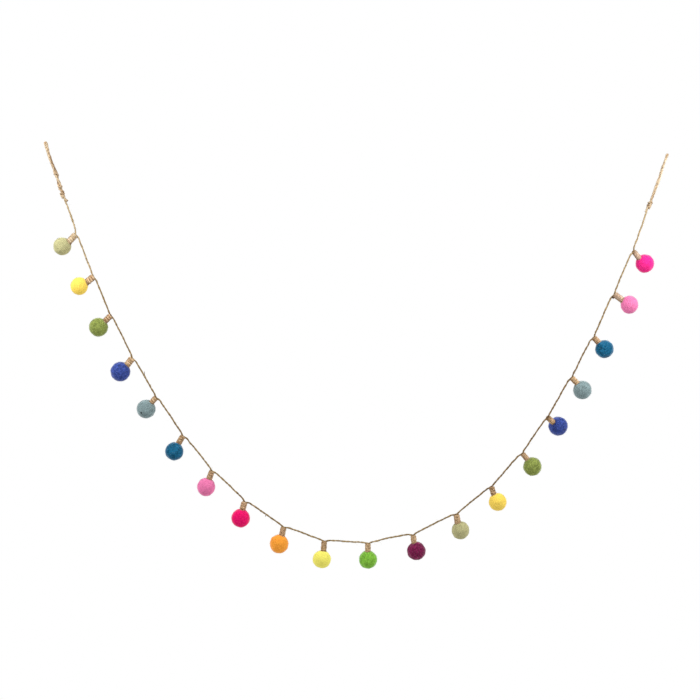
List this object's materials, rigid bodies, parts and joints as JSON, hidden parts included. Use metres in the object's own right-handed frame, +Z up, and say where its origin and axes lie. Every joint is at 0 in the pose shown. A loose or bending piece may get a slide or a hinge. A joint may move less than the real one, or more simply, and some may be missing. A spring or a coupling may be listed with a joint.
{
  "type": "needle felted garland",
  "caption": "Hanging garland of felted wool balls, each on a short wound neck, spaced along a thin jute string with a knotted hanging loop at either end.",
  "frame": {"origin": "inside the top of the left hanging loop, where a hook or pin bears", "axes": "+Z up, +X along the wall from the left loop to the right one, front towards -Y"},
  "size_m": [0.8742, 0.0478, 0.5978],
  "materials": {
    "jute": "two-ply natural jute twine, dry and hairy",
    "wound_jute": "jute twine wound tight, side by side",
    "felt_sage": "pale sage green needle felted wool, matt, with a fine fuzz",
    "felt_yellow": "yellow needle felted wool, matt, with a fine fuzz",
    "felt_moss": "moss green needle felted wool, matt, with a fine fuzz",
    "felt_cobalt": "cobalt blue needle felted wool, matt, with a fine fuzz",
    "felt_duck_egg": "duck-egg grey blue needle felted wool, matt, with a fine fuzz",
    "felt_teal": "teal needle felted wool, matt, with a fine fuzz",
    "felt_pink": "pink needle felted wool, matt, with a fine fuzz",
    "felt_cerise": "cerise needle felted wool, matt, with a fine fuzz",
    "felt_orange": "orange needle felted wool, matt, with a fine fuzz",
    "felt_lemon": "pale lemon needle felted wool, matt, with a fine fuzz",
    "felt_lime": "lime green needle felted wool, matt, with a fine fuzz",
    "felt_plum": "plum needle felted wool, matt, with a fine fuzz",
    "felt_hot_pink": "hot pink needle felted wool, matt, with a fine fuzz"
  },
  "bodies": {
    "root": {"string": "jute", "loop_left": "jute", "knot_left": "jute", "tail_left": "jute", "loop_right": "jute", "knot_right": "jute", "tail_right": "jute", "ball_01": "felt_sage", "neck_01": "wound_jute", "ball_02": "felt_yellow", "neck_02": "wound_jute", "ball_03": "felt_moss", "neck_03": "wound_jute", "ball_04": "felt_cobalt", "neck_04": "wound_jute", "ball_05": "felt_duck_egg", "neck_05": "wound_jute", "ball_06": "felt_teal", "neck_06": "wound_jute", "ball_07": "felt_pink", "neck_07": "wound_jute", "ball_08": "felt_cerise", "neck_08": "wound_jute", "ball_09": "felt_orange", "neck_09": "wound_jute", "ball_10": "felt_lemon", "neck_10": "wound_jute", "ball_11": "felt_lime", "neck_11": "wound_jute", "ball_12": "felt_plum", "neck_12": "wound_jute", "ball_13": "felt_sage", "neck_13": "wound_jute", "ball_14": "felt_yellow", "neck_14": "wound_jute", "ball_15": "felt_moss", "neck_15": "wound_jute", "ball_16": "felt_cobalt", "neck_16": "wound_jute", "ball_17": "felt_duck_egg", "neck_17": "wound_jute", "ball_18": "felt_teal", "neck_18": "wound_jute", "ball_19": "felt_pink", "neck_19": "wound_jute", "ball_20": "felt_hot_pink", "neck_20": "wound_jute"}
  },
  "joints": []
}
